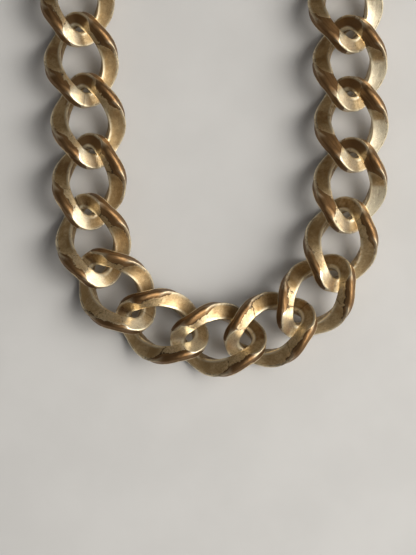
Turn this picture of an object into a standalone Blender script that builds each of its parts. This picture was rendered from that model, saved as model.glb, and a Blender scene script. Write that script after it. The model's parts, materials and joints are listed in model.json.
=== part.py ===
"""Chunky curb-chain necklace, unfastened and laid out flat in a U.

Units are metres and +Z is up. Every link is a planar oval of rectangular wire,
given half its twist at each end, so neighbours lock and lie flat. The chain
hinges at the point where two links cross. The left end carries a jump ring
and a lobster clasp with a sprung gate, the right end a plain jump ring.
"""
from math import cos, pi, radians, sin

import bmesh
import bpy
from mathutils import Matrix

MM = 0.001

# One link: outer size along and across the chain, wire section, twist at each end
LINK_LENGTH = 19.4 * MM
LINK_WIDTH = 14.9 * MM
WIRE_WIDTH = 3.5 * MM
WIRE_THICKNESS = 2.7 * MM
EDGE_BREAK = 0.4 * MM
END_THINNING = 0.87
END_FLATTENING = 0.84
OVAL_FULLNESS = 0.57
LINK_TWIST = radians(45.0)
TWIST_FROM, TWIST_TO = 0.175, 0.825
GROUND_FLAT = 0.15 * MM
OVAL_STEPS = 6

# From a link's middle back to the crossing with the link before it
HALF_PITCH = 6.1 * MM

# Where the middle link's first crossing lies, and the way the link points
ROOT_X, ROOT_Y = -4.30 * MM, -102.38 * MM
ROOT_HEADING = radians(-3.0)

# Laid shape: turn in degrees at each crossing, and spacing of the two links in mm
RIGHT_TURNS = (24, 29, 28, 6, 9, -3, 8, -8, -8, -6, -4, 0, 4, 6, 6, -3)
RIGHT_STEPS = (10.8, 11.6, 11.9, 12.0, 12.3, 12.2, 11.6) + (12.2,) * 9
LEFT_TURNS = (-20, -28, -27, -16, 10, 1, -7, 6, 6, 4, 0, 0, -4, -6, -6, 0)
LEFT_STEPS = (11.8, 11.9, 11.4, 12.0, 12.2, 12.3, 12.3) + (12.2,) * 9

# Jump rings
RING_RADIUS = 3.6 * MM
RING_WIRE = 0.7 * MM
RING_TILT = radians(58.0)
RING_DIP = radians(2.0)
BOW_TO_RING = 2.6 * MM
BOW_CENTRE = 8.2 * MM

# Lobster clasp, drawn in its own plane with the tail eye at the origin
CLASP_DIP = radians(4.5)
EYE_RADIUS = 2.05 * MM
EYE_WIRE = 0.75 * MM
BARREL_SIZE = (5.0 * MM, 5.2 * MM, 2.4 * MM)
BARREL_Y = 6.9 * MM
HOOK_SECTION = (1.35 * MM, 1.6 * MM)
SLOT_HALF = 1.45 * MM
GATE_HALF = 0.95 * MM
PIN_X, PIN_Y = 2.4 * MM, 6.8 * MM
PIN_RADIUS = 0.6 * MM
PIN_HALF = 2.0 * MM
SPRING_RADIUS = 1.0 * MM
SPRING_WIRE = 0.14 * MM

GOLD = (0.72, 0.55, 0.30)
BRASS = (0.48, 0.31, 0.14)
STEEL = (0.60, 0.58, 0.55)


def clear_scene():
    for obj in list(bpy.data.objects):
        bpy.data.objects.remove(obj, do_unlink=True)


def new_collection(name):
    made = bpy.data.collections.new(name)
    bpy.context.scene.collection.children.link(made)
    return made


def metal(name, colour, roughness):
    made = bpy.data.materials.new(name)
    made.use_nodes = True
    shader = made.node_tree.nodes["Principled BSDF"]
    shader.inputs["Base Color"].default_value = (*colour, 1.0)
    shader.inputs["Metallic"].default_value = 1.0
    shader.inputs["Roughness"].default_value = roughness
    made.diffuse_color = (*colour, 1.0)
    return made


def add_object(name, data, group):
    made = bpy.data.objects.new(name, data)
    group.objects.link(made)
    return made


def baked(obj):
    """The object's finished mesh, with its modifiers, in its own space."""
    graph = bpy.context.evaluated_depsgraph_get()
    mesh = bpy.data.meshes.new_from_object(obj.evaluated_get(graph), depsgraph=graph)
    work = bmesh.new()
    work.from_mesh(mesh)
    bmesh.ops.remove_doubles(work, verts=work.verts, dist=1e-6)
    bmesh.ops.recalc_face_normals(work, faces=work.faces)
    work.to_mesh(mesh)
    work.free()
    return mesh


def drop(*objects):
    for obj in objects:
        bpy.data.objects.remove(obj, do_unlink=True)


def cutter(name, mesh):
    made = add_object(name, mesh, CUTTERS)
    made.hide_render = True
    made.display_type = "WIRE"
    return made


def combine(target, tool, operation):
    step = target.modifiers.new(operation.lower(), "BOOLEAN")
    step.operation = operation
    step.solver = "EXACT"
    step.object = tool


def box_mesh(name, low, high):
    work = bmesh.new()
    bmesh.ops.create_cube(work, size=1.0)
    size = [b - a for a, b in zip(low, high)]
    middle = [(a + b) / 2 for a, b in zip(low, high)]
    bmesh.ops.scale(work, vec=size, verts=work.verts)
    bmesh.ops.translate(work, vec=middle, verts=work.verts)
    mesh = bpy.data.meshes.new(name)
    work.to_mesh(mesh)
    work.free()
    return mesh


def rod_mesh(name, radius, half, centre, sides=24):
    work = bmesh.new()
    bmesh.ops.create_cone(
        work, cap_ends=True, segments=sides, radius1=radius, radius2=radius, depth=2 * half
    )
    bmesh.ops.translate(work, vec=(*centre, 0.0), verts=work.verts)
    mesh = bpy.data.meshes.new(name)
    work.to_mesh(mesh)
    work.free()
    return mesh


def closed_outline(name, corners):
    """A closed straight-sided curve in the XY plane."""
    curve = bpy.data.curves.new(name, "CURVE")
    curve.dimensions = "2D"
    line = curve.splines.new("POLY")
    line.points.add(len(corners) - 1)
    for point, (x, y) in zip(line.points, corners):
        point.co = (x, y, 0.0, 1.0)
    line.use_cyclic_u = True
    return curve


def wire_section():
    """Rectangular wire with its four edges broken."""
    w, t, e = WIRE_WIDTH / 2, WIRE_THICKNESS / 2, EDGE_BREAK
    corners = (
        (w, -t + e), (w, t - e), (w - e, t), (-w + e, t),
        (-w, t - e), (-w, -t + e), (-w + e, -t), (w - e, -t),
    )
    return closed_outline("wire_section", corners)


def oval_path(long_half, short_half):
    """Four-point closed oval, thinner in section at the two ends of the link."""
    curve = bpy.data.curves.new("link_path", "CURVE")
    curve.dimensions = "3D"
    curve.twist_mode = "Z_UP"
    curve.resolution_u = OVAL_STEPS
    line = curve.splines.new("BEZIER")
    line.bezier_points.add(3)
    for index, point in enumerate(line.bezier_points):
        angle = index * pi / 2
        x, y = cos(angle), sin(angle)
        reach = OVAL_FULLNESS
        point.co = (short_half * x, long_half * y, 0.0)
        point.handle_left = (short_half * (x + reach * y), long_half * (y - reach * x), 0.0)
        point.handle_right = (short_half * (x - reach * y), long_half * (y + reach * x), 0.0)
        point.radius = 1.0 if index % 2 == 0 else END_THINNING
    line.use_cyclic_u = True
    return curve


def link_mesh():
    """Sweep the wire round the oval, twist it, grind the high and low corners."""
    long_half = (LINK_LENGTH - WIRE_WIDTH * END_THINNING) / 2
    short_half = (LINK_WIDTH - WIRE_WIDTH) / 2
    section = add_object("wire_section", wire_section(), CUTTERS)
    path = add_object("link_path", oval_path(long_half, short_half), CUTTERS)
    path.data.bevel_mode = "OBJECT"
    path.data.bevel_object = section
    flat = add_object("flat_link", baked(path), CUTTERS)
    for vertex in flat.data.vertices:
        reach = min(abs(vertex.co.y) / long_half, 1.0)
        vertex.co.z *= 1.0 + (END_FLATTENING - 1.0) * reach * reach * (3.0 - 2.0 * reach)

    twist = flat.modifiers.new("twist", "SIMPLE_DEFORM")
    twist.deform_method = "TWIST"
    twist.deform_axis = "Y"
    twist.limits = (TWIST_FROM, TWIST_TO)
    twist.angle = -2 * LINK_TWIST
    turned = baked(flat)
    height = max(v.co.z for v in turned.vertices) - GROUND_FLAT
    ground = add_object("ground_link", turned, CUTTERS)
    slab = cutter("grinding_slab", box_mesh("slab", (-0.02, -0.02, -height), (0.02, 0.02, height)))
    combine(ground, slab, "INTERSECT")
    mesh = baked(ground)
    mesh.name = "curb_link"
    mesh.transform(Matrix.Translation((0.0, HALF_PITCH, 0.0)))
    drop(section, path, flat, ground, slab)
    return mesh, height


def smooth(mesh, angle=35.0):
    for face in mesh.polygons:
        face.use_smooth = True
    mesh.set_sharp_from_angle(angle=radians(angle))


def lay_strand(side, turns, steps, parent, root_link):
    """Hang each link on the one before it, by its own crossing point."""
    for index, (turn, step) in enumerate(zip(turns, steps), start=1):
        link = add_object(f"link_{side}_{index:02d}", LINK_MESH, NECKLACE)
        link.parent = parent
        if parent is root_link and side == "left":
            link.location = (0.0, 2 * HALF_PITCH - step * MM, 0.0)
            link.rotation_euler = (0.0, 0.0, radians(180 + turn))
        else:
            link.location = (0.0, step * MM, 0.0)
            link.rotation_euler = (0.0, 0.0, radians(turn))
        parent = link
    return parent


def ring_mesh(name, radius, wire, segments=20, sides=8):
    """Round wire ring in the XY plane, centred on the origin."""
    curve = bpy.data.curves.new(name, "CURVE")
    curve.dimensions = "3D"
    line = curve.splines.new("POLY")
    line.points.add(segments - 1)
    for index, point in enumerate(line.points):
        angle = 2 * pi * index / segments
        point.co = (radius * cos(angle), radius * sin(angle), 0.0, 1.0)
    line.use_cyclic_u = True
    curve.bevel_depth = wire
    curve.bevel_resolution = (sides - 4) // 2
    path = add_object(name, curve, CUTTERS)
    mesh = baked(path)
    mesh.name = name
    drop(path)
    return mesh


def hang_ring(name, parent):
    """Jump ring through the end link's bow; its origin is the bow's centre."""
    ring = add_object(name, RING_MESH.copy(), NECKLACE)
    ring.parent = parent
    ring.location = (0.0, HALF_PITCH + BOW_CENTRE, 0.0)
    tilt = Matrix.Rotation(RING_TILT, 4, "Y")
    dip = Matrix.Rotation(-RING_DIP, 4, "X")
    lead = Matrix.Translation((0.0, RING_RADIUS - BOW_TO_RING, 0.0))
    ring.data.transform(dip @ lead @ tilt)
    return ring


def hook_curve():
    """Claw of the clasp: up one side, over the top and down to the tip."""
    points = (
        ((-3.2, 8.2), (-3.4, 5.8), (-3.4, 10.6), 1.15),
        ((-4.4, 14.6), (-4.5, 12.2), (-4.3, 18.2), 1.0),
        ((0.3, 22.6), (-2.6, 22.6), (3.0, 22.6), 1.0),
        ((4.6, 18.0), (4.6, 20.2), (4.6, 17.4), 0.8),
    )
    curve = bpy.data.curves.new("hook_path", "CURVE")
    curve.dimensions = "3D"
    curve.twist_mode = "Z_UP"
    curve.resolution_u = 7
    line = curve.splines.new("BEZIER")
    line.bezier_points.add(len(points) - 1)
    for point, (middle, before, after, size) in zip(line.bezier_points, points):
        point.co = (middle[0] * MM, middle[1] * MM, 0.0)
        point.handle_left = (before[0] * MM, before[1] * MM, 0.0)
        point.handle_right = (after[0] * MM, after[1] * MM, 0.0)
        point.radius = size
    curve.use_fill_caps = True
    return curve


def round_section(name, half_width, half_height, sides=12):
    angles = [2 * pi * i / sides for i in range(sides)]
    return closed_outline(name, [(half_width * cos(a), half_height * sin(a)) for a in angles])


def clasp_body_mesh():
    """Barrel, claw and tail eye joined, then slotted and drilled for the gate."""
    section = add_object("hook_section", round_section("hook_section", *HOOK_SECTION), CUTTERS)
    path = add_object("hook_path", hook_curve(), CUTTERS)
    path.data.bevel_mode = "OBJECT"
    path.data.bevel_object = section
    hook = cutter("hook", baked(path))

    work = bmesh.new()
    bmesh.ops.create_uvsphere(work, u_segments=24, v_segments=12, radius=1.0)
    bmesh.ops.scale(work, vec=BARREL_SIZE, verts=work.verts)
    bmesh.ops.translate(work, vec=(0.0, BARREL_Y, 0.0), verts=work.verts)
    barrel_mesh = bpy.data.meshes.new("barrel")
    work.to_mesh(barrel_mesh)
    work.free()
    body = add_object("barrel", barrel_mesh, CUTTERS)

    eye = cutter("eye", ring_mesh("eye", EYE_RADIUS, EYE_WIRE, 24, 8))
    slot_low = (-0.6 * MM, 4.4 * MM, -SLOT_HALF)
    slot_high = (9.0 * MM, 14.0 * MM, SLOT_HALF)
    slot = cutter("slot", box_mesh("slot", slot_low, slot_high))
    drill = cutter("drill", rod_mesh("drill", PIN_RADIUS + 0.03 * MM, 0.005, (PIN_X, PIN_Y)))
    combine(body, hook, "UNION")
    combine(body, eye, "UNION")
    combine(body, slot, "DIFFERENCE")
    combine(body, drill, "DIFFERENCE")
    mesh = baked(body)
    mesh.name = "clasp_body"
    drop(section, path, hook, body, eye, slot, drill)
    return mesh


def gate_mesh():
    """Gate lever: a round heel on the pin, an arm that shuts the claw, a thumb tab."""
    outline = (
        (1.2, 5.6), (2.4, 5.1), (3.7, 5.7), (5.2, 5.3), (6.6, 5.2), (7.2, 6.0), (6.4, 6.9),
        (5.3, 7.6), (5.0, 9.2), (5.3, 12.0), (5.4, 15.0), (5.3, 16.3), (4.5, 16.7), (3.7, 16.3),
        (3.6, 15.0), (3.5, 12.2), (2.9, 9.6), (1.6, 8.3), (0.8, 7.0),
    )
    curve = closed_outline("gate", [(x * MM, y * MM) for x, y in outline])
    curve.dimensions = "2D"
    curve.fill_mode = "BOTH"
    curve.extrude = GATE_HALF - 0.25 * MM
    curve.bevel_depth = 0.25 * MM
    curve.bevel_resolution = 1
    curve.offset = -0.25 * MM
    path = add_object("gate_path", curve, CUTTERS)
    lever = add_object("gate_blank", baked(path), CUTTERS)
    drill = cutter("gate_drill", rod_mesh("gate_drill", PIN_RADIUS + 0.06 * MM, 0.005, (PIN_X, PIN_Y)))
    combine(lever, drill, "DIFFERENCE")
    mesh = baked(lever)
    mesh.name = "clasp_gate"
    drop(path, lever, drill)
    return mesh


def spring_mesh():
    """Hairpin spring: half a turn round the pin beside the gate, with two legs."""
    curve = bpy.data.curves.new("spring_path", "CURVE")
    curve.dimensions = "3D"
    line = curve.splines.new("POLY")
    level = (GATE_HALF + SLOT_HALF) / 2
    bend = 12
    places = [(-1.7 * MM, 2.8 * MM)]
    for index in range(bend + 1):
        angle = pi + pi * index / bend
        places.append((SPRING_RADIUS * cos(angle), SPRING_RADIUS * sin(angle)))
    places.append((1.5 * MM, 3.6 * MM))
    line.points.add(len(places) - 1)
    for point, (x, y) in zip(line.points, places):
        point.co = (PIN_X + x, PIN_Y + y, level, 1.0)
    curve.bevel_depth = SPRING_WIRE
    curve.bevel_resolution = 2
    curve.use_fill_caps = True
    path = add_object("spring_path", curve, CUTTERS)
    mesh = baked(path)
    mesh.name = "clasp_spring"
    drop(path)
    return mesh


clear_scene()
NECKLACE = new_collection("curb_chain_necklace")
CUTTERS = new_collection("cutters")

gold = metal("aged_gold_plate", GOLD, 0.35)
brass = metal("worn_brass", BRASS, 0.4)
steel = metal("spring_steel", STEEL, 0.3)

LINK_MESH, LINK_HEIGHT = link_mesh()
LINK_MESH.materials.append(gold)
smooth(LINK_MESH, 40.0)

middle = add_object("link_centre", LINK_MESH, NECKLACE)
middle.location = (ROOT_X, ROOT_Y, LINK_HEIGHT)
middle.rotation_euler = (0.0, 0.0, ROOT_HEADING - pi / 2)
right_end = lay_strand("right", RIGHT_TURNS, RIGHT_STEPS, middle, middle)
left_end = lay_strand("left", LEFT_TURNS, LEFT_STEPS, middle, middle)

RING_MESH = ring_mesh("jump_ring", RING_RADIUS, RING_WIRE)
RING_MESH.materials.append(gold)
smooth(RING_MESH, 60.0)
left_ring = hang_ring("jump_ring_left", left_end)
right_ring = hang_ring("jump_ring_right", right_end)

far_side = 2 * RING_RADIUS - BOW_TO_RING
clasp = add_object("clasp_body", clasp_body_mesh(), NECKLACE)
clasp.parent = left_ring
clasp.location = (0.0, far_side * cos(RING_DIP), -far_side * sin(RING_DIP))
clasp.data.transform(Matrix.Rotation(-CLASP_DIP, 4, "X") @ Matrix.Translation((0.0, 0.15 * MM, 0.0)))
clasp.data.materials.append(gold)
smooth(clasp.data, 35.0)

pin = add_object("clasp_pin", rod_mesh("clasp_pin", PIN_RADIUS, PIN_HALF, (0.0, 0.0), 20), NECKLACE)
gate = add_object("clasp_gate", gate_mesh(), NECKLACE)
spring = add_object("clasp_spring", spring_mesh(), NECKLACE)
to_pin = Matrix.Translation((-PIN_X, -PIN_Y, 0.0))
gate.data.transform(to_pin)
spring.data.transform(to_pin)
for obj, finish in ((pin, steel), (gate, brass), (spring, steel)):
    obj.parent = clasp
    lever_y = PIN_Y + 0.15 * MM
    obj.location = (PIN_X, lever_y * cos(CLASP_DIP), -lever_y * sin(CLASP_DIP))
    obj.rotation_euler = (-CLASP_DIP, 0.0, 0.0)
    obj.data.materials.append(finish)
    smooth(obj.data, 35.0)
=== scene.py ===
"""Aged gold-plated curb-chain necklace on a pale studio floor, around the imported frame."""
import json
from math import atan2, cos, pi, radians, sin

import bpy
import numpy as np
from mathutils import Matrix, Vector

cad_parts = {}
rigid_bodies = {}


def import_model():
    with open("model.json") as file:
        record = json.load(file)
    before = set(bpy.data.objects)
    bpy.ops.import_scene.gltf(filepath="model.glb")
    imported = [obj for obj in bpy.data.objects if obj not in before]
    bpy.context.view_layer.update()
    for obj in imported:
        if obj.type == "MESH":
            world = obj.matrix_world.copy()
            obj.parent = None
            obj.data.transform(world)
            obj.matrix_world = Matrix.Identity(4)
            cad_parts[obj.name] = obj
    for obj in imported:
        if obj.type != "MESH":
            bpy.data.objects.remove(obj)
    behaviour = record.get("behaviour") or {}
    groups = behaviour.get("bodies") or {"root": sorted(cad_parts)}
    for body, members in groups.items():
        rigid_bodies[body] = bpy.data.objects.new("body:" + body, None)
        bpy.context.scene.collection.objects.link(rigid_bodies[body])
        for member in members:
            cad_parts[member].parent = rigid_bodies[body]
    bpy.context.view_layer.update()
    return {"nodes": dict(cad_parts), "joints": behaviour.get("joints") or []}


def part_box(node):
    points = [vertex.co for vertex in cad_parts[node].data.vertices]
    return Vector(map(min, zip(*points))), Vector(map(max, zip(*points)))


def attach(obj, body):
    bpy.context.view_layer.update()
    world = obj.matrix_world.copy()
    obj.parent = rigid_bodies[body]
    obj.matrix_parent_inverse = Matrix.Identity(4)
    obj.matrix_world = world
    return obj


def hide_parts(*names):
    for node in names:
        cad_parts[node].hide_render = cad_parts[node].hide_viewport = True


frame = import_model()

MM = 0.001

# Link shape in mm, as in the CAD model
LINK_LENGTH = 19.4
LINK_WIDTH = 14.9
WIRE_WIDTH = 3.5
WIRE_THICKNESS = 2.7
BOW_WIDTH = 0.87
BOW_FLATTENING = 0.84
OVAL_FULLNESS = 0.57
LINK_TWIST = 45.0
TWIST_END = 6.3
TWIST_EASE = 0.16

# Mesh steps: along the wire, across each flat and round each corner of its section
PATH_STEPS = 192
FLAT_STEPS, BEND_STEPS = 12, 6

# Corner radius in mm: as made, more at the bows, more on proud shoulders, and where all is bare
CRISP_EDGE = 0.23
RUBBED_BOW = 0.32
PROUD_EDGE = 0.95
BARE_EDGE = 0.45

# Unevenness in mm, and how many of the links show their solder seam
WANDER, SWELL, DENT = 0.045, 0.030, 0.022
SAG_AT_BOW, SAG_ON_BAR = 0.012, 0.03
SEAM_PLACES = [0.215, 0.285, 0.715, 0.785]
SEAM_CHANCE = 0.35
SEAM_DIP_ACROSS, SEAM_DIP_UP = 0.03, 0.04

# Along each long side in mm, from its middle: where the worn shoulder starts and ends
SHOULDER_FROM = 1.2
SHOULDER_TO = 5.9
SHOULDER_RAMP = 1.6
RIGHT_STRAND_DELAY = 0.9
BREAK_REACH = 2.2

# Distance in mm given to metal that is nowhere near a worn patch
FAR_INSIDE = -9.0

# Width in mm of the plate left beside the worn shoulder
STRIP_BOTTOM, STRIP_LEFT, STRIP_RIGHT = 1.9, 1.2, 0.2
BARE_STRIP = 1.6
BOTTOM_LINKS = 3

# Jump rings in mm, as in the CAD model
RING_RADIUS = 3.6
RING_WIRE = 0.7
RING_STEPS, RING_SIDES = 160, 28
RING_CUT_STEP = 30

low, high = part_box("link_centre")
LINK_LEVEL = (low.z + high.z) / 2
CAD_HALF_HEIGHT = (high.z - low.z) / 2 / MM


# ---------------------------------------------------------------- mesh helpers
def smooth_step(x):
    """0 rising to 1 with soft ends, flat on both sides."""
    x = np.clip(x, 0.0, 1.0)
    return x * x * (3 - 2 * x)


def plateau(t, start, end, ramp):
    """1 between start and end, with soft ramps inside them."""
    return smooth_step((t - start) / ramp) * smooth_step((end - t) / ramp)


def eased(x):
    """x up to one and level after it, with the corner there rounded off."""
    bend = np.clip((x - 1 + TWIST_EASE) / (2 * TWIST_EASE), 0, 1)
    return np.minimum(x, 1 + TWIST_EASE) - TWIST_EASE * bend * bend


def closed_tube(name, x, y, z):
    """Quad mesh over a grid of points in mm, closed along the wire and round it."""
    count, ring = x.shape
    verts = np.stack([x, y, z], -1).reshape(-1, 3) * MM
    i, j = np.meshgrid(np.arange(count), np.arange(ring), indexing="ij")
    i2, j2 = (i + 1) % count, (j + 1) % ring
    faces = np.stack([i * ring + j, i2 * ring + j, i2 * ring + j2, i * ring + j2], -1).reshape(-1, 4)
    mesh = bpy.data.meshes.new(name)
    mesh.from_pydata(verts.tolist(), [], faces.tolist())
    mesh.update()
    return mesh


def add_layers(mesh, layers):
    """Each grid of values becomes a point attribute that the materials read."""
    for key, values in layers.items():
        layer = mesh.attributes.new(key, "FLOAT", "POINT")
        layer.data.foreach_set("value", np.ascontiguousarray(values, dtype=np.float32).reshape(-1))
    mesh.shade_smooth()


# ---------------------------------------------------------------- links
def oval(steps):
    """Evenly spaced points of the four-part Bezier oval, bow amount at each, run to each, length."""
    long_half = (LINK_LENGTH - WIRE_WIDTH * BOW_WIDTH) / 2
    short_half = (LINK_WIDTH - WIRE_WIDTH) / 2
    points, bows = [], []
    fine = 200
    for quarter in range(4):
        a, b = quarter * pi / 2, (quarter + 1) * pi / 2
        p0 = np.array([cos(a), sin(a)])
        p3 = np.array([cos(b), sin(b)])
        p1 = p0 + OVAL_FULLNESS * np.array([-sin(a), cos(a)])
        p2 = p3 - OVAL_FULLNESS * np.array([-sin(b), cos(b)])
        for step in range(fine):
            u = step / fine
            v = 1 - u
            p = v**3 * p0 + 3 * v * v * u * p1 + 3 * v * u * u * p2 + u**3 * p3
            points.append(p * (short_half, long_half))
            grow = 3 * u * u - 2 * u**3
            bows.append(grow if quarter % 2 == 0 else 1 - grow)
    loop = np.vstack([points, points[:1]])
    run = np.concatenate([[0], np.cumsum(np.linalg.norm(np.diff(loop, axis=0), axis=1))])
    even = np.linspace(0, run[-1], steps, endpoint=False)
    x = np.interp(even, run, loop[:, 0])
    y = np.interp(even, run, loop[:, 1])
    bow = np.interp(even, run, np.append(bows, bows[0]))
    return np.stack([x, y], 1), bow, even, run[-1]


def wire_section(width, height, radii):
    """Rounded rectangles along the wire: across and up of each point, and how near a corner it is.

    width and height: one per step along the wire. radii: for each corner, one per step."""
    across, up, edge = [], [], []
    signs = ((1, 1), (-1, 1), (-1, -1), (1, -1))
    starts = (0.0, 90.0, 180.0, 270.0)
    for index, ((sx, sy), start) in enumerate(zip(signs, starts)):
        r = radii[index]
        cx, cy = sx * (width / 2 - r), sy * (height / 2 - r)
        for step in range(BEND_STEPS + 1):
            angle = radians(start + 90.0 * step / BEND_STEPS)
            across.append(cx + r * cos(angle))
            up.append(cy + r * sin(angle))
            edge.append(np.ones_like(width))
        following = (index + 1) % 4
        next_r = radii[following]
        next_sx, next_sy = signs[following]
        end = radians(start + 90.0)
        from_x, from_y = cx + r * cos(end), cy + r * sin(end)
        to_x = next_sx * (width / 2 - next_r) + next_r * cos(end)
        to_y = next_sy * (height / 2 - next_r) + next_r * sin(end)
        for step in range(1, FLAT_STEPS):
            u = step / FLAT_STEPS
            across.append(from_x + (to_x - from_x) * u)
            up.append(from_y + (to_y - from_y) * u)
            edge.append(np.full_like(width, max(0.0, 1.0 - min(u, 1 - u) * 8.0)))
    return np.array(across).T, np.array(up).T, np.array(edge).T


def side_runs(rng, path, even, length, strip, strand):
    """For the upper side of the wire, then its underside, four values at each step of the path.

    They are the run from the middle of the long side towards the bow where that side rises, the
    start and the end of the worn shoulder on that run, and the width of plate beside it."""
    quarter = length / 4
    run = np.where(even > 3 * quarter, even - length, even - 2 * quarter)
    run = np.where(even < quarter, even, run)
    starts = SHOULDER_FROM + rng.normal(0, 0.25, 4)
    starts[0] += RIGHT_STRAND_DELAY * max(0, strand)
    ends = SHOULDER_TO + rng.normal(0, 0.35, 4)
    widths = strip + rng.normal(0, 0.25, 4)
    right = path[:, 0] > 0
    sides = []
    for under, t in enumerate((run, -run)):
        pick = np.where(right, 2 * under, 2 * under + 1)
        sides.append((t, starts[pick], ends[pick], widths[pick]))
    return sides


def uneven(rng, s):
    """Slow sideways wander of the wire, and how far its width falls short here and there."""
    wander, swell = np.zeros_like(s), np.zeros_like(s)
    for wave in range(2, 10):
        wander += rng.normal(0, WANDER / wave) * np.cos(wave * s + rng.uniform(0, 2 * pi))
        swell += rng.normal(0, SWELL / wave) * np.cos(wave * s + rng.uniform(0, 2 * pi))
    return wander, swell - swell.max()


def seam_mask(rng, even, length):
    """1 on the solder seam across the wire near one bow, for some of the links."""
    place = rng.choice(SEAM_PLACES) + rng.uniform(-0.012, 0.012)
    steps_off = np.abs((even / length - place + 0.5) % 1.0 - 0.5) * len(even)
    return np.clip(1 - steps_off / 1.5, 0, 1) * (rng.uniform() < SEAM_CHANCE)


def wear_layers(sides, across, up, width, height, quarter):
    """Where the plate is worn through, as distances in mm on the surface of the wire.

    worn: past the border of the worn metal. cut_a, cut_b: past the two breaks across the wire.
    zone: 1 near those breaks. low: 1 on the low flat of each side. round: run round the wire."""
    half_w, half_h, wide = width[:, None] / 2, height[:, None] / 2, width[:, None]
    worn = np.full(up.shape, FAR_INSIDE)
    found = []
    for under, side in enumerate(sides):
        t, start, end, strip = (values[:, None] for values in side)
        level = -up if under else up
        around = (across + half_w) + np.clip(half_h - level, 0, None) * (across > 0)
        share = np.clip(around / wide, 0, 1)
        lean = t + 1.3 * (share - 0.5)

        # the border runs along the outer edge, narrows to the strip, then crosses the wire
        border = wide + 0.8 - 1.4 * smooth_step((t - start + 4.5) / 4.5)
        border = border + 2.0 * smooth_step((start - 4.0 - t) / 2.0)
        border = border + (strip - border) * smooth_step((lean - start) / 1.1)
        border += (wide - 0.10 - border) * smooth_step((t - 0.5 * (around / wide) - end + 0.6) / 1.4)
        border += 3.2 * smooth_step((t - quarter + 2.6) / 2.6)
        border += 3.2 * smooth_step((1.0 - quarter - t) / 1.0)
        here = (level > 0) | (across > half_w * 0.6)
        past = np.minimum(around - border, wide + 2.15 - around)
        worn = np.maximum(worn, np.where(here, past, FAR_INSIDE))

        near_start = plateau(t, start - BREAK_REACH, start + BREAK_REACH, 0.5)
        near_end = plateau(t, end - BREAK_REACH, end + BREAK_REACH, 0.5)
        zone = np.maximum(near_start, near_end) + 0 * up
        low_flat = smooth_step((start + 0.4 - lean) / 0.8) * smooth_step((t + quarter) / 3.0)
        found.append((lean - start - 0.9, t - 0.5 * share - end + 0.25, zone, low_flat))
    cut_a, cut_b, zone, low_flat = (np.where(up > 0, upper, lower) for upper, lower in zip(*found))
    return {
        "worn": np.clip(worn, -3, 3),
        "cut_a": np.clip(cut_a, -3, 3),
        "cut_b": np.clip(cut_b, -3, 3),
        "zone": zone,
        "low": low_flat,
        "round": around,
    }


def painted_light_and_shade_of_plate(path, up, strand):
    """Painted light and shade: above 0 the plate is painted pale as if lit, below 0 dulled and browned as
    if shaded.
    """
    x, y = path[:, 0, None], path[:, 1, None] + 0 * up
    right_low = smooth_step((x - 2.0) / 3.0) * smooth_step((1.5 - y) / 2.0)
    left_high = smooth_step((-x - 2.0) / 3.0) * smooth_step((y + 0.5) / 2.5)
    left_low = smooth_step((-x - 2.0) / 3.0) * smooth_step((-y - 0.5) / 2.0)
    right_high = smooth_step((x - 2.0) / 3.0) * smooth_step((y - 1.5) / 2.0)
    top_bow = smooth_step((y - 5.6) / 1.6) * smooth_step((4.5 + 1.5 * x / 6 + x) / 2.0)
    low_bow = smooth_step((-y - 5.0) / 1.6) * smooth_step((2.5 - x) / 4.0)
    low_bow_end = smooth_step((-y - 5.0) / 1.6) * smooth_step(x / 3.5)
    painted_light_and_shade = (0.15 + 0.95 * max(0, strand)) * right_low - 0.45 * abs(strand) * left_high
    painted_light_and_shade = painted_light_and_shade - (0.5 + 0.6 * abs(strand)) * top_bow + 0.75 * low_bow - 0.40 * low_bow_end
    painted_light_and_shade += 0.45 * left_low
    painted_light_and_shade += 0.20 * right_high
    return np.where(up > 0, painted_light_and_shade, 0.0)


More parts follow.
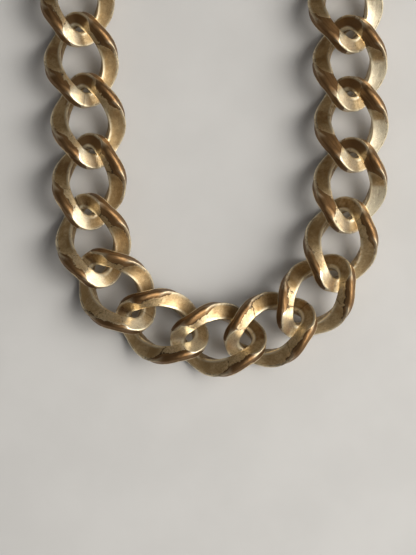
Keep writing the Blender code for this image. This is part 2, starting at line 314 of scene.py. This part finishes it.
def link_mesh(name, seed, strip, strand):
    """One twisted link: flat faces on its low halves, rounded wear on its proud shoulders.

    strand: -1 on the left run, +1 on the right run, 0 round the bottom."""
    rng = np.random.default_rng(seed)
    path, bow, even, length = oval(PATH_STEPS)
    tangent = np.roll(path, -1, 0) - np.roll(path, 1, 0)
    tangent /= np.linalg.norm(tangent, axis=1)[:, None]
    outward = np.stack([tangent[:, 1], -tangent[:, 0]], 1)
    s = even / length * 2 * pi

    sides = side_runs(rng, path, even, length, strip, strand)
    wander, swell = uneven(rng, s)
    width = WIRE_WIDTH * (1 + (BOW_WIDTH - 1) * bow) * (1 + swell * 0.5)
    height = WIRE_THICKNESS * (1 + (BOW_WIDTH - 1) * bow)
    seam = seam_mask(rng, even, length)
    width *= 1 - SEAM_DIP_ACROSS * seam
    height *= 1 - SEAM_DIP_UP * seam

    proud = [plateau(t, start + 0.1, end + SHOULDER_RAMP, SHOULDER_RAMP) for t, start, end, _ in sides]
    bare = [np.clip(1 - strip_width / BARE_STRIP, 0, 1) for _, _, _, strip_width in sides]
    bow_edge = RUBBED_BOW * bow
    radii = [
        CRISP_EDGE + PROUD_EDGE * proud[0],
        CRISP_EDGE + bow_edge + (BARE_EDGE - bow_edge) * proud[0] * bare[0],
        CRISP_EDGE + bow_edge + (BARE_EDGE - bow_edge) * proud[1] * bare[1],
        CRISP_EDGE + PROUD_EDGE * proud[1],
    ]
    across, up, edge = wire_section(width, height, radii)
    edge = edge * (1 - np.where(up > 0, proud[0][:, None], proud[1][:, None]))

    # the faces sag between their edges and have shallow dents
    hollow = 1 - (2 * across / width[:, None]) ** 2
    on_face = smooth_step((np.abs(up) / height[:, None] - 0.40) / 0.08)
    sag = SAG_AT_BOW + SAG_ON_BAR * (1 - bow)[:, None]
    dents = sum(
        rng.normal(0, DENT / wave)
        * np.cos(wave * s[:, None] + rng.uniform(0, 6.28) + rng.uniform(-1, 1) * across)
        for wave in range(3, 14)
    )
    z = up - np.sign(up) * (sag * np.clip(hollow, 0, 1) + np.abs(dents)) * on_face
    x = path[:, 0, None] + outward[:, 0, None] * (across + wander[:, None])
    y = path[:, 1, None] + outward[:, 1, None] * (across + wander[:, None])

    # flatten the bows, then twist each half the other way about the link's length
    reach = smooth_step(np.abs(y) / ((LINK_LENGTH - WIRE_WIDTH * BOW_WIDTH) / 2))
    z *= 1 + (BOW_FLATTENING - 1) * reach
    angle = np.radians(LINK_TWIST) * np.sign(y) * eased(np.abs(y) / TWIST_END)
    twisted_x = x * np.cos(angle) - z * np.sin(angle)
    twisted_z = np.clip(x * np.sin(angle) + z * np.cos(angle), -CAD_HALF_HEIGHT, CAD_HALF_HEIGHT)
    mesh = closed_tube(name, twisted_x, y, twisted_z)

    layers = wear_layers(sides, across, up, width, height, length / 4)
    # painted light and shade over the top side of the link
    layers["painted_light_and_shade"] = painted_light_and_shade_of_plate(path, up, strand)
    layers["along"] = np.broadcast_to((np.sin(s) * 6.0)[:, None], up.shape)
    # nearness to a corner, which the plate paints with a highlight
    layers["edge"] = edge
    # inner side face of the wire, which the plate darkens with painted shade
    layers["inner"] = smooth_step((-across / (width[:, None] / 2) - 0.86) / 0.12)
    layers["seam"] = np.broadcast_to(seam[:, None], up.shape)
    layers["seed"] = np.full(up.shape, seed * 3.7)
    add_layers(mesh, layers)
    return mesh


# ---------------------------------------------------------------- materials
# cream is the painted highlight colour of the plate where it is painted as lit
PAINTED_HIGHLIGHT_CREAM = (0.96, 0.86, 0.64)
PALE_GOLD = (0.70, 0.53, 0.30)
MID_GOLD = (0.34, 0.215, 0.095)
DULL_GOLD = (0.29, 0.185, 0.077)
BROWN_WORN = (0.150, 0.083, 0.036)
BROWN_LIGHT = (0.235, 0.138, 0.062)
# painted highlight colour along the wire's edges
PAINTED_EDGE_HIGHLIGHT = (0.95, 0.85, 0.62)
# dark grime for pits, marks, seams and worn borders, also painted shade in the hollows of castings
GRIME_AND_SHADE = (0.045, 0.028, 0.016)
# painted shade on the inner faces of the links and rings
PAINTED_INNER_SHADE = (0.10, 0.06, 0.03)
PIN_LIGHT, PIN_DARK = (0.42, 0.40, 0.37), (0.22, 0.19, 0.16)
SPRING_LIGHT, SPRING_DARK = (0.50, 0.49, 0.47), (0.30, 0.27, 0.24)
FLOOR_DARK, FLOOR_LIGHT = (0.49, 0.486, 0.478), (0.515, 0.511, 0.503)


class Graph:
    """Small helper that adds nodes to a material and wires them."""

    def __init__(self, name):
        self.material = bpy.data.materials.new(name)
        self.material.use_nodes = True
        self.tree = self.material.node_tree
        self.shader = self.tree.nodes["Principled BSDF"]
        self.place = self.add("ShaderNodeTexCoord").outputs["Object"]

    def add(self, kind, **settings):
        made = self.tree.nodes.new(kind)
        for key, value in settings.items():
            setattr(made, key, value)
        return made

    def feed(self, socket, value):
        if isinstance(value, bpy.types.NodeSocket):
            self.tree.links.new(value, socket)
        else:
            socket.default_value = value

    def math(self, operation, a, b=0.5, clamp=False):
        made = self.add("ShaderNodeMath", operation=operation, use_clamp=clamp)
        self.feed(made.inputs[0], a)
        self.feed(made.inputs[1], b)
        return made.outputs[0]

    def times(self, a, b):
        return self.math("MULTIPLY", a, b)

    def inverse(self, value):
        return self.math("SUBTRACT", 1.0, value)

    def swing(self, value, weight):
        """A noise value as a change either way from nothing."""
        return self.times(self.math("SUBTRACT", value, 0.5), weight)

    def ramp(self, value, low, high, out_low=0.0, out_high=1.0):
        made = self.add("ShaderNodeMapRange", clamp=True, interpolation_type="SMOOTHSTEP")
        self.feed(made.inputs["Value"], value)
        limits = (("From Min", low), ("From Max", high), ("To Min", out_low), ("To Max", out_high))
        for key, number in limits:
            self.feed(made.inputs[key], number)
        return made.outputs["Result"]

    def noise(self, scale, detail=3.0, rough=0.55, seed=None, warp=0.0):
        made = self.add("ShaderNodeTexNoise", noise_dimensions="4D" if seed is not None else "3D")
        self.feed(made.inputs["Vector"], self.place)
        made.inputs["Scale"].default_value = scale
        made.inputs["Detail"].default_value = detail
        made.inputs["Roughness"].default_value = rough
        made.inputs["Distortion"].default_value = warp
        if seed is not None:
            self.feed(made.inputs["W"], seed)
        return made.outputs["Fac"]

    def drawn_noise(self, along, around, detail):
        """Noise stretched along the wire, with these counts along it and round it."""
        place = self.add("ShaderNodeCombineXYZ")
        self.feed(place.inputs[0], self.times(self.attribute("along"), along))
        self.feed(place.inputs[1], self.times(self.attribute("round"), around))
        self.feed(place.inputs[2], self.attribute("seed"))
        made = self.add("ShaderNodeTexNoise")
        self.feed(made.inputs["Vector"], place.outputs[0])
        made.inputs["Scale"].default_value = 1.0
        made.inputs["Detail"].default_value = detail
        return made.outputs["Fac"]

    def cells(self, scale, seed=None):
        made = self.add("ShaderNodeTexVoronoi", voronoi_dimensions="4D" if seed is not None else "3D")
        self.feed(made.inputs["Vector"], self.place)
        made.inputs["Scale"].default_value = scale
        if seed is not None:
            self.feed(made.inputs["W"], seed)
        return made.outputs["Distance"]

    def mix(self, factor, a, b):
        made = self.add("ShaderNodeMix", data_type="RGBA", blend_type="MIX")
        self.feed(made.inputs[0], factor)
        self.feed(made.inputs[6], (*a, 1.0) if isinstance(a, tuple) else a)
        self.feed(made.inputs[7], (*b, 1.0) if isinstance(b, tuple) else b)
        return made.outputs[2]

    def attribute(self, name):
        return self.add("ShaderNodeAttribute", attribute_name=name).outputs["Fac"]

    def bump(self, height, strength, distance, normal=None):
        made = self.add("ShaderNodeBump")
        made.inputs["Strength"].default_value = strength
        made.inputs["Distance"].default_value = distance
        self.feed(made.inputs["Height"], height)
        if normal is not None:
            self.feed(made.inputs["Normal"], normal)
        return made.outputs["Normal"]

    def finish(self, colour, rough, normal):
        """A bare metal with this colour, roughness and surface."""
        self.feed(self.shader.inputs["Base Color"], colour)
        self.feed(self.shader.inputs["Roughness"], rough)
        self.feed(self.shader.inputs["Normal"], normal)
        self.shader.inputs["Metallic"].default_value = 1.0
        return self.material


def plate_colour(g, broad, medium, fine, grain, lines):
    """Painted pale where lit and browner where shaded, dull and browned in random patches elsewhere,
    finely scratched.
    """
    painted_light_and_shade = g.attribute("painted_light_and_shade")
    dull = g.ramp(g.math("ADD", broad, g.times(medium, 0.5)), 0.60, 0.92)
    dull = g.math("ADD", g.times(dull, 0.60), g.times(g.attribute("low"), 0.30))
    # painted light and shade: less dull, cream and less specked where painted as lit, duller where painted
    # as shaded
    dull = g.math("SUBTRACT", dull, g.times(painted_light_and_shade, 0.6), clamp=True)
    plate = g.mix(dull, g.mix(g.ramp(painted_light_and_shade, 0.3, 0.9), PALE_GOLD, PAINTED_HIGHLIGHT_CREAM), DULL_GOLD)
    speck = g.ramp(g.math("ADD", g.times(fine, 0.6), g.times(grain, 0.4)), 0.47, 0.57)
    plate = g.mix(g.times(speck, g.ramp(painted_light_and_shade, 0.0, 1.0, 0.65, 0.25)), plate, MID_GOLD)
    patchy = g.math("ADD", g.swing(medium, 1.6), g.swing(broad, 1.8))
    # browned in random patches, more so under painted shade and less under painted light
    browned_and_shaded = g.math("SUBTRACT", patchy, g.times(painted_light_and_shade, 1.4))
    plate = g.mix(g.ramp(browned_and_shaded, 0.45, 1.05, 0.0, 0.9), plate, BROWN_LIGHT)
    return g.mix(g.times(lines, 0.35), plate, BROWN_LIGHT), dull


def worn_through(g, broad, medium, fine):
    """Mask of the worn metal inside its ragged border, and of the dark line along that border."""
    ragged = g.math("ADD", g.swing(medium, 2.2), g.swing(broad, 1.4))
    ragged = g.math("ADD", ragged, g.swing(fine, 0.5))
    level = g.math("ADD", g.attribute("worn"), ragged)
    rubbed = g.ramp(level, -0.06, 0.10)
    rim = g.inverse(g.ramp(g.math("ABSOLUTE", level), 0.03, 0.19))
    return rubbed, g.times(rim, g.ramp(broad, 0.36, 0.54))


def break_marks(g, rubbed, inner, broad, medium, fine):
    """Broken dark lines across the wire where one flat ends and the next begins."""
    shift = g.swing(medium, 1.8)
    lines = []
    for key in ("cut_a", "cut_b"):
        near = g.math("ABSOLUTE", g.math("ADD", g.attribute(key), shift))
        lines.append(g.inverse(g.ramp(near, 0.05, 0.19)))
    mark = g.times(g.math("MAXIMUM", *lines), g.attribute("zone"))
    mark = g.times(mark, g.inverse(g.math("MAXIMUM", inner, rubbed)))
    broken = g.math("ADD", g.times(fine, 0.5), g.times(broad, 0.5))
    return g.times(mark, g.ramp(broken, 0.44, 0.54))


def pit_marks(g, seed, broad, medium):
    """Dark pits of two sizes, in clusters."""
    large = g.times(g.ramp(g.cells(1500.0, seed), 0.11, 0.20, 1.0, 0.0), g.ramp(medium, 0.47, 0.60))
    small = g.times(g.ramp(g.cells(3400.0, seed), 0.12, 0.26, 1.0, 0.0), g.ramp(broad, 0.46, 0.60))
    return g.math("MAXIMUM", large, g.times(small, 0.7))


def aged_plate(name):
    """Satin pale gold plate, dulled in patches, rubbed through to brown metal on proud shoulders."""
    g = Graph(name)
    seed = g.attribute("seed")
    inner = g.attribute("inner")
    broad = g.noise(170.0, detail=3.0, rough=0.6, seed=seed)
    medium = g.noise(650.0, detail=4.0, rough=0.62, seed=seed, warp=0.4)
    fine = g.noise(2100.0, detail=4.0, rough=0.65, seed=seed)
    grain = g.noise(9000.0, detail=2.0, rough=0.5, seed=seed)
    streaks = g.drawn_noise(along=0.25, around=2.6, detail=3.0)
    lines = g.ramp(g.drawn_noise(along=0.9, around=11.0, detail=4.0), 0.56, 0.66)

    plate, dull = plate_colour(g, broad, medium, fine, grain, lines)
    rubbed, rim = worn_through(g, broad, medium, fine)
    streaky = g.math("ADD", g.times(streaks, 0.7), g.times(broad, 0.3))
    brown = g.mix(g.ramp(streaky, 0.38, 0.62), BROWN_WORN, BROWN_LIGHT)
    colour = g.mix(rubbed, plate, brown)
    colour = g.mix(g.times(rim, 0.9), colour, GRIME_AND_SHADE)
    mark = break_marks(g, rubbed, inner, broad, medium, fine)
    colour = g.mix(g.times(mark, 0.8), colour, GRIME_AND_SHADE)
    pits = pit_marks(g, seed, broad, medium)
    colour = g.mix(g.times(pits, 0.65), colour, GRIME_AND_SHADE)

    # painted highlight along the edges, painted shade on the inner faces of the links, grime on the seam
    edge_highlight_mask = g.times(g.attribute("edge"), g.ramp(medium, 0.28, 0.52))
    edge_highlight_mask = g.times(edge_highlight_mask, g.inverse(g.times(rubbed, 0.45)))
    colour = g.mix(g.times(edge_highlight_mask, 0.85), colour, PAINTED_EDGE_HIGHLIGHT)
    colour = g.mix(g.times(inner, g.ramp(medium, 0.40, 0.75, 0.05, 0.55)), colour, PAINTED_INNER_SHADE)
    colour = g.mix(g.ramp(g.attribute("seam"), 0.45, 0.95, 0.0, 0.75), colour, GRIME_AND_SHADE)

    rough = g.ramp(fine, 0.2, 0.8, 0.28, 0.44)
    rough = g.math("ADD", rough, g.times(dull, 0.06))
    rough = g.math("ADD", rough, g.times(rubbed, 0.12))
    rough = g.math("ADD", rough, g.times(rim, 0.25), clamp=True)

    uneven_plate = g.times(medium, g.inverse(g.times(rubbed, 0.6)))
    normal = g.bump(uneven_plate, strength=0.25, distance=0.00018)
    sandy = g.math("ADD", fine, g.times(grain, 0.5))
    normal = g.bump(sandy, strength=0.45, distance=0.00006, normal=normal)
    deep = g.math("MAXIMUM", g.math("MAXIMUM", mark, pits), g.times(rim, 0.6))
    deep = g.math("ADD", deep, g.times(lines, 0.25))
    deep = g.times(g.math("ADD", deep, g.times(rubbed, 0.4)), -1.0)
    normal = g.bump(deep, strength=0.6, distance=0.00004, normal=normal)
    return g.finish(colour, rough, normal)


def cast_plate(name, bright, dull_colour, brown):
    """Plated casting: dulled in patches, brown where the plate has gone from its proud edges."""
    g = Graph(name)
    broad = g.noise(240.0, detail=3.0, rough=0.6)
    medium = g.noise(700.0, detail=4.0, rough=0.62, warp=0.4)
    fine = g.noise(3000.0, detail=3.0, rough=0.6)
    proud = g.add("ShaderNodeNewGeometry").outputs["Pointiness"]
    dull = g.ramp(g.math("ADD", broad, g.times(medium, 0.5)), 0.62, 0.90)
    plate = g.mix(g.times(dull, 0.8), bright, dull_colour)
    plate = g.mix(g.ramp(fine, 0.42, 0.78, 0.0, 0.45), plate, dull_colour)
    level = g.math("ADD", g.swing(proud, 6.0), g.swing(medium, 1.8))
    level = g.math("ADD", level, g.swing(broad, 2.2))
    rubbed = g.ramp(level, 0.30, 0.38)
    rim = g.inverse(g.ramp(g.math("ABSOLUTE", g.math("SUBTRACT", level, 0.34)), 0.01, 0.07))
    colour = g.mix(rubbed, plate, brown)
    colour = g.mix(g.times(rim, 0.6), colour, GRIME_AND_SHADE)
    # painted shade in the hollows of the casting, where its pointiness is low
    colour = g.mix(g.ramp(proud, 0.40, 0.49, 0.7, 0.0), colour, GRIME_AND_SHADE)
    pits = g.times(g.ramp(g.cells(1400.0), 0.08, 0.18, 1.0, 0.0), g.ramp(broad, 0.50, 0.62))
    colour = g.mix(g.times(pits, 0.6), colour, GRIME_AND_SHADE)
    rough = g.math("ADD", g.ramp(fine, 0.2, 0.8, 0.27, 0.43), g.times(dull, 0.08))
    rough = g.math("SUBTRACT", rough, g.times(rubbed, 0.06), clamp=True)
    normal = g.bump(medium, strength=0.25, distance=0.00015)
    sandy = g.math("SUBTRACT", fine, pits)
    normal = g.bump(sandy, strength=0.3, distance=0.00004, normal=normal)
    return g.finish(colour, rough, normal)


def plain_metal(name, light, dark, rough_low, rough_high):
    """A small metal part with grain and darker patches."""
    g = Graph(name)
    medium = g.noise(700.0, detail=4.0, rough=0.6)
    fine = g.noise(4200.0, detail=3.0, rough=0.6)
    colour = g.mix(g.ramp(medium, 0.35, 0.68), light, dark)
    rough = g.ramp(fine, 0.2, 0.8, rough_low, rough_high)
    return g.finish(colour, rough, g.bump(fine, strength=0.25, distance=0.00005))


def floor_material():
    """Plain pale matt floor with a very faint mottle."""
    g = Graph("floor")
    mottle = g.ramp(g.noise(60.0), 0.3, 0.7)
    g.feed(g.shader.inputs["Base Color"], g.mix(mottle, FLOOR_DARK, FLOOR_LIGHT))
    g.shader.inputs["Roughness"].default_value = 0.9
    return g.material


# ---------------------------------------------------------------- links on their bodies
def add_piece(name, mesh, matrix, body, slot, *nodes):
    """A new object that rides on a body in the place of the named CAD nodes."""
    piece = bpy.data.objects.new(name, mesh)
    bpy.context.scene.collection.objects.link(piece)
    piece.matrix_world = matrix
    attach(piece, body)
    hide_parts(*nodes)
    return piece


plating = aged_plate("aged_gold_plate_look")

# the two pivots of each link give its place and heading along the strand
pivots = {}
for entry in frame["joints"]:
    pivots.setdefault(entry["parent"], []).append(Vector(entry["pos_m"]))
    pivots.setdefault(entry["child"], []).append(Vector(entry["pos_m"]))

link_frames = {}
names = sorted(n for n in frame["nodes"] if n.startswith("link_"))
for number, name in enumerate(names):
    low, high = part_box(name)
    middle = (low + high) / 2
    first, last = pivots[name][0], pivots[name][-1]
    if name == "link_centre":
        first, last = pivots[name][1], pivots[name][0]
    heading = atan2(last.y - first.y, last.x - first.x) - pi / 2
    place = Matrix.Translation((middle.x, middle.y, LINK_LEVEL)) @ Matrix.Rotation(heading, 4, "Z")
    link_frames[name] = place
    index = 0 if name == "link_centre" else int(name[-2:])
    if index <= BOTTOM_LINKS:
        strip, strand = STRIP_BOTTOM, 0
    elif "left" in name:
        strip, strand = STRIP_LEFT, -1
    else:
        strip, strand = STRIP_RIGHT, 1
    mesh = link_mesh("curb_" + name, number + 1, strip, strand)
    mesh.materials.append(plating)
    add_piece("curb_" + name, mesh, place, name, "aged_gold_plate", name)


# ---------------------------------------------------------------- rings and clasp
def ring_mesh(name, seed):
    """Round wire jump ring with its closed cut, in the XY plane."""
    rng = np.random.default_rng(seed)
    s = np.arange(RING_STEPS) / RING_STEPS * 2 * pi
    v = np.arange(RING_SIDES) / RING_SIDES * 2 * pi
    wander = sum(rng.normal(0, 0.02 / w) * np.cos(w * s + rng.uniform(0, 6.28)) for w in range(2, 7))
    cut = np.clip(1 - np.abs(np.arange(RING_STEPS) - RING_CUT_STEP) / 1.6, 0, 1)
    wire = RING_WIRE * (1 - 0.06 * cut) - 0.015
    radius = RING_RADIUS + wander[:, None] * 0.5 + wire[:, None] * np.cos(v)[None, :]
    x, y = radius * np.cos(s)[:, None], radius * np.sin(s)[:, None]
    mesh = closed_tube(name, x, y, wire[:, None] * np.sin(v)[None, :])
    full = np.ones((RING_STEPS, RING_SIDES))
    add_layers(mesh, {
        "worn": -0.9 + 0.9 * np.abs(np.sin(v))[None, :] * full,
        "cut_a": 3 * full,
        "cut_b": 3 * full,
        "zone": 0 * full,
        "low": 0.4 * full,
        # a little painted shade over the whole ring
        "painted_light_and_shade": -0.2 * full,
        "round": v[None, :] * full * 0.7,
        "along": (np.sin(s) * 6)[:, None] * full,
        "edge": 0 * full,
        # inner side of the ring, darkened by painted shade in the plate
        "inner": 0.3 * smooth_step(-np.cos(v))[None, :] * full,
        "seam": cut[:, None] * full,
        "seed": full * (seed * 3.7),
    })
    return mesh


def node_points(name):
    """All the corner points of a CAD node, one per row."""
    mesh = frame["nodes"][name].data
    points = np.empty(len(mesh.vertices) * 3)
    mesh.vertices.foreach_get("co", points)
    return points.reshape(-1, 3)


for number, name in enumerate(("jump_ring_left", "jump_ring_right")):
    points = node_points(name)
    centre = points.mean(0)
    normal = Vector(np.linalg.svd(points - centre, full_matrices=False)[2][2])
    place = Matrix.Translation(Vector(centre)) @ normal.to_track_quat("Z", "Y").to_matrix().to_4x4()
    mesh = ring_mesh("wire_" + name, 101 + number)
    mesh.materials.append(plating)
    add_piece("wire_" + name, mesh, place, name, "aged_gold_plate", name)


def coat(node, material):
    """The CAD node itself in a finished material."""
    for slot in frame["nodes"][node].material_slots:
        slot.material = material


def refine(node, voxel, rounds, material):
    """The CAD node itself, on a finer skin with softened edges, in a finished material."""
    piece = frame["nodes"][node]
    skin = piece.modifiers.new("fine_skin", "REMESH")
    skin.mode = "VOXEL"
    skin.voxel_size = voxel * MM
    skin.use_smooth_shade = True
    soften = piece.modifiers.new("soft_edges", "SMOOTH")
    soften.factor = 0.5
    soften.iterations = rounds
    coat(node, material)


cast = cast_plate("aged_cast_look", PALE_GOLD, DULL_GOLD, BROWN_LIGHT)
brass = cast_plate("worn_brass_look", MID_GOLD, DULL_GOLD, BROWN_WORN)
pin_steel = plain_metal("pin_steel", PIN_LIGHT, PIN_DARK, rough_low=0.25, rough_high=0.42)
spring_steel = plain_metal("spring_steel_look", SPRING_LIGHT, SPRING_DARK, rough_low=0.22, rough_high=0.36)
refine("clasp_body", voxel=0.11, rounds=8, material=cast)
refine("clasp_gate", voxel=0.08, rounds=4, material=brass)
refine("clasp_pin", voxel=0.06, rounds=2, material=pin_steel)
coat("clasp_spring", spring_steel)


# ---------------------------------------------------------------- floor, light, camera
# metres and watts, with the aim point in mm from the middle of the centre link
FLOOR_REACH, FLOOR_GAP = 6.0, 0.0001
WORLD_COLOUR, WORLD_STRENGTH = (1.0, 0.97, 0.94, 1.0), 0.17
LIGHT_COLOUR = (1.0, 0.97, 0.92)
KEY_FROM, KEY_SIZE, KEY_POWER = Vector((1.40, -0.14, 0.98)), 2.3, 47.0
ACCENT_FROM, ACCENT_SIZE, ACCENT_POWER = Vector((0.34, -0.06, 0.34)), 0.26, 1.5
AIM_OFF_CENTRE_LINK = (-2.10, 12.42)
AIM_HEIGHT = 5.0
CAMERA_HEIGHT, VIEW_HEIGHT, SENSOR = 0.36, 0.1110, 36.0


def area(name, place, target, size, power):
    """A square soft light at place, facing target."""
    data = bpy.data.lights.new(name, "AREA")
    data.energy = power
    data.color = LIGHT_COLOUR
    data.shape = "RECTANGLE"
    data.size = size
    data.size_y = size
    made = bpy.data.objects.new(name, data)
    bpy.context.scene.collection.objects.link(made)
    made.location = place
    made.rotation_euler = (Vector(target) - Vector(place)).to_track_quat("-Z", "Y").to_euler()


floor_mesh = bpy.data.meshes.new("floor")
corners = [(x * FLOOR_REACH, y * FLOOR_REACH, 0) for x, y in ((-1, -1), (1, -1), (1, 1), (-1, 1))]
floor_mesh.from_pydata(corners, [], [(0, 1, 2, 3)])
floor_mesh.materials.append(floor_material())
floor = bpy.data.objects.new("floor", floor_mesh)
bpy.context.scene.collection.objects.link(floor)
floor.location.z = -FLOOR_GAP

centre_link = link_frames["link_centre"].translation
aim_x, aim_y = AIM_OFF_CENTRE_LINK
aim = Vector((centre_link.x + aim_x * MM, centre_link.y + aim_y * MM, AIM_HEIGHT * MM))

world = bpy.data.worlds.new("studio")
world.use_nodes = True
background = world.node_tree.nodes["Background"]
background.inputs["Color"].default_value = WORLD_COLOUR
background.inputs["Strength"].default_value = WORLD_STRENGTH
bpy.context.scene.world = world
bpy.context.scene.view_settings.view_transform = "Standard"
area("key_right", aim + KEY_FROM, aim, KEY_SIZE, KEY_POWER)
area("accent_right", aim + ACCENT_FROM, aim, ACCENT_SIZE, ACCENT_POWER)

camera_data = bpy.data.cameras.new("camera")
camera_data.sensor_width = SENSOR
camera_data.lens = SENSOR * (CAMERA_HEIGHT - aim.z) / VIEW_HEIGHT
camera_data.clip_start = 0.01
camera = bpy.data.objects.new("camera", camera_data)
bpy.context.scene.collection.objects.link(camera)
camera.location = (aim.x, aim.y, CAMERA_HEIGHT)
bpy.context.scene.camera = camera
